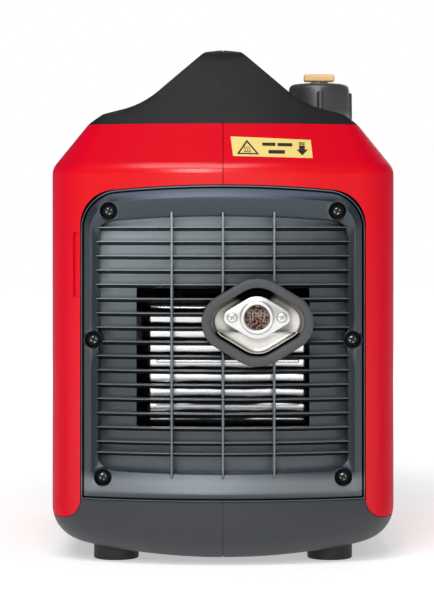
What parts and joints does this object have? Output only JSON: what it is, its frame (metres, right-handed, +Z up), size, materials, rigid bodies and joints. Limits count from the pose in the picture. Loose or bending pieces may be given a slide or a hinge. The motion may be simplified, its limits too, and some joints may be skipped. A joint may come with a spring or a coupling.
{
  "type": "portable inverter generator",
  "caption": "Suitcase-style portable inverter generator: red moulded case, dark top cover with carrying handle, louvred exhaust grille and an enclosed engine and alternator.",
  "frame": {"origin": "on the floor, under the middle of the bounding box", "axes": "+Z up; -Y out of the exhaust end; +Y out of the control panel; +X out of the recoil starter side"},
  "size_m": [0.29, 0.508, 0.432],
  "materials": {
    "red_plastic": "satin moulded plastic",
    "cover_plastic": "fine textured plastic",
    "base_plastic": "fine textured plastic",
    "grille_plastic": "satin plastic",
    "black_screw": "black oxide",
    "black_rubber": "matte",
    "polished_steel": "polished",
    "plain_steel": "satin",
    "screen_mesh": "heat tinted wire",
    "dark_steel": "dull",
    "yellow_label": "printed film",
    "black_plastic": "moulded",
    "tan_plastic": "moulded",
    "panel_plastic": "fine textured plastic",
    "socket_plastic": "moulded",
    "lamp_plastic": "tinted lens",
    "cast_aluminium": "as cast",
    "black_steel": "painted",
    "white_ceramic": "glazed",
    "copper_windings": "lacquered wire"
  },
  "bodies": {
    "case": {"ac_outlets": "socket_plastic", "air_box": "black_plastic", "base_left": "base_plastic", "base_right": "base_plastic", "carburettor": "cast_aluminium", "control_panel": "panel_plastic", "crankcase": "cast_aluminium", "cylinder": "cast_aluminium", "cylinder_head": "cast_aluminium", "dc_socket": "black_plastic", "exhaust_grommet": "black_rubber", "exhaust_pipe": "plain_steel", "fan_shroud": "black_plastic", "feet": "black_rubber", "foot_bolts": "plain_steel", "fuel_hose": "black_rubber", "fuel_tank": "black_plastic", "grille_screws": "black_screw", "ground_terminal": "plain_steel", "heat_shield": "polished_steel", "hot_label": "yellow_label", "inverter_module": "cast_aluminium", "left_shell": "red_plastic", "main_bearings": "plain_steel", "muffler": "dark_steel", "outlet_dish": "polished_steel", "outlet_flange": "plain_steel", "outlet_screws": "plain_steel", "panel_screws": "black_screw", "parallel_jacks": "black_plastic", "plug_cap": "black_rubber", "rear_duct": "grille_plastic", "rear_grille": "grille_plastic", "recoil_bezel": "black_plastic", "right_shell": "red_plastic", "spark_plug": "white_ceramic", "spark_screen": "screen_mesh", "stator": "copper_windings", "status_lamps": "lamp_plastic", "top_cover_left": "cover_plastic", "top_cover_right": "cover_plastic", "valve_cover": "black_steel"},
    "service_cover": {"service_cover": "red_plastic"},
    "cover_latch": {"cover_latch": "black_plastic"},
    "cap_insert": {"cap_insert": "black_plastic"},
    "fuel_cap": {"fuel_cap": "black_plastic"},
    "vent_lever": {"vent_lever": "tan_plastic"},
    "crank": {"crankshaft": "plain_steel", "flywheel": "black_steel", "cooling_fan": "black_plastic"},
    "piston": {"piston": "cast_aluminium"},
    "rod": {"connecting_rod": "plain_steel", "rod_pins": "plain_steel"},
    "recoil_grip": {"recoil_grip": "black_plastic"},
    "recoil_pulley": {"recoil_pulley": "black_plastic"},
    "dipstick": {"oil_dipstick": "black_plastic"},
    "breaker": {"breaker_button": "black_plastic"},
    "eco_switch": {"eco_switch": "black_plastic"},
    "engine_dial": {"engine_dial": "black_plastic"}
  },
  "joints": [
    {"name": "fuel_cap_lift", "type": "slide", "parent": "case", "child": "cap_insert", "axis": [0, 0, 1], "range_m": [0, 0.06]},
    {"name": "fuel_cap_turn", "type": "hinge", "parent": "cap_insert", "child": "fuel_cap", "pos_m": [0.085, -0.095, 0.39], "axis": [0, 0, 1], "continuous": true},
    {"name": "vent_lever_turn", "type": "hinge", "parent": "fuel_cap", "child": "vent_lever", "pos_m": [0.085, -0.095, 0.41], "axis": [0, 0, 1], "range_deg": [0, 90]},
    {"name": "service_cover_swing", "type": "hinge", "parent": "case", "child": "service_cover", "pos_m": [-0.145, -0.095, 0.18], "axis": [0, 0, 1], "range_deg": [0, 100]},
    {"name": "cover_latch_turn", "type": "hinge", "parent": "service_cover", "child": "cover_latch", "pos_m": [-0.142, 0.062, 0.262], "axis": [1, 0, 0], "range_deg": [0, 90]},
    {"name": "crankshaft_spin", "type": "hinge", "parent": "case", "child": "crank", "pos_m": [0, 0.015, 0.14], "axis": [1, 0, 0], "continuous": true},
    {"name": "piston_stroke", "type": "slide", "parent": "case", "child": "piston", "axis": [0, 0.9397, -0.342], "range_m": [0, 0.043]},
    {"name": "connecting_rod_swing", "type": "hinge", "parent": "piston", "child": "rod", "pos_m": [0, -0.07568, 0.173], "axis": [1, 0, 0], "range_deg": [-16.5, 16.5]},
    {"name": "recoil_pull", "type": "slide", "parent": "case", "child": "recoil_grip", "axis": [1, 0, 0], "range_m": [0, 0.6], "stiffness_N_per_m": 6, "springref_m": -0.2},
    {"name": "recoil_pulley_spin", "type": "hinge", "parent": "case", "child": "recoil_pulley", "pos_m": [0.1235, 0.015, 0.14], "axis": [1, 0, 0], "range_deg": [0, 1045]},
    {"name": "dipstick_turn", "type": "hinge", "parent": "case", "child": "dipstick", "pos_m": [-0.05, 0.053, 0.11], "axis": [-1, 0, 0], "continuous": true},
    {"name": "breaker_press", "type": "slide", "parent": "case", "child": "breaker", "axis": [0, -1, 0], "range_m": [0, 0.003], "stiffness_N_per_m": 300, "springref_m": -0.001},
    {"name": "eco_switch_rock", "type": "hinge", "parent": "case", "child": "eco_switch", "pos_m": [0.058, 0.222, 0.25], "axis": [1, 0, 0], "range_deg": [0, 10]},
    {"name": "engine_dial_turn", "type": "hinge", "parent": "case", "child": "engine_dial", "pos_m": [-0.058, 0.226, 0.25], "axis": [0, 1, 0], "range_deg": [0, 120]}
  ],
  "couplings": [
    {"joint": "recoil_pulley_spin", "follows": "recoil_pull", "rad_per_m": 30.303}
  ]
}
